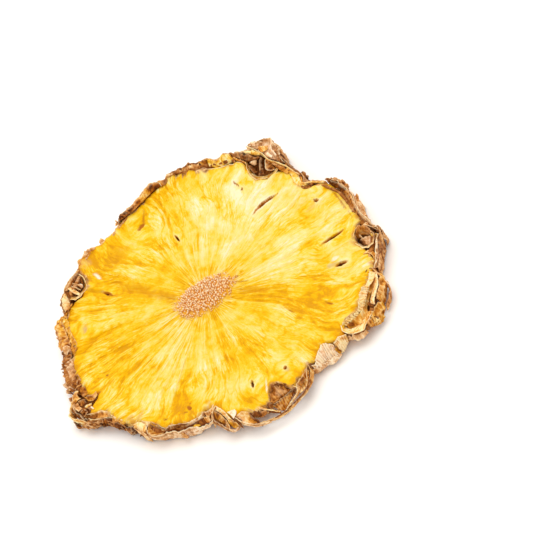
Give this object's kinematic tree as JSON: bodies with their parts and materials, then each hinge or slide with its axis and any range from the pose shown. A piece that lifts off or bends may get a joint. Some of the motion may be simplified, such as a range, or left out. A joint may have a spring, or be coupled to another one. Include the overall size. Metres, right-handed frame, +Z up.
{
  "type": "dried pineapple slice",
  "caption": "Whole round slice of dried pineapple with its rind and core left in, lying flat with its crinkled rim raised.",
  "frame": {"origin": "middle of the slice's outline in plan, on the surface that it lies on", "axes": "+Z up out of the shown cut face, +X and +Y in the plane of the slice, with the view of the shown face taken from -Y"},
  "size_m": [0.0979, 0.0951, 0.0082],
  "materials": {
    "dried_flesh": "waxy dried fruit flesh with pale radial fibres, satin",
    "dried_rind": "papery browned skin, matt",
    "core_fibre": "short cut fibre ends, matt"
  },
  "bodies": {
    "root": {"pineapple_slice": "dried_flesh"}
  },
  "joints": []
}
